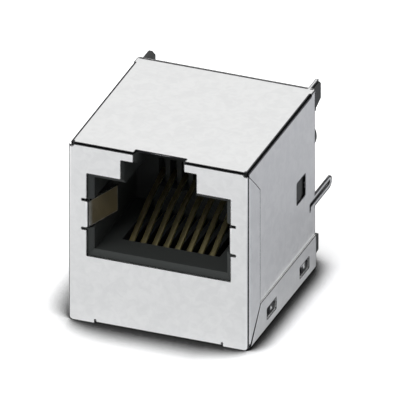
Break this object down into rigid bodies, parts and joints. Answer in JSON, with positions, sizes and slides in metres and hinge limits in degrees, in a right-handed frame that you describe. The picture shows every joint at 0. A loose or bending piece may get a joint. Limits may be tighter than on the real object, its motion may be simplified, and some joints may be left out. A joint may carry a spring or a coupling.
{
  "type": "modular board jack",
  "caption": "Shielded modular jack for a circuit board: folded metal shell, moulded plug port with latch slot, spring contacts, pegs, loop pins and solder tails.",
  "frame": {"origin": "under the middle of the bounding box, in the plane of the bottom panel that it rests on", "axes": "the mating face looks along -Y, the board side along +Y, the latch slot is at the top, +Z; X runs along the row of contacts"},
  "size_m": [0.016, 0.0194, 0.0166],
  "materials": {
    "shield_sheet": "satin tin plate on thin sheet",
    "housing_plastic": "fine matt moulding",
    "insert_plastic": "fine matt moulding",
    "contact_metal": "gold plate, bright"
  },
  "bodies": {
    "root": {"front_shield": "shield_sheet", "rear_shield": "shield_sheet", "housing": "housing_plastic", "contact_insert": "insert_plastic", "contact_1": "contact_metal", "contact_2": "contact_metal", "contact_3": "contact_metal", "contact_4": "contact_metal", "contact_5": "contact_metal", "contact_6": "contact_metal", "contact_7": "contact_metal", "contact_8": "contact_metal"}
  },
  "joints": []
}
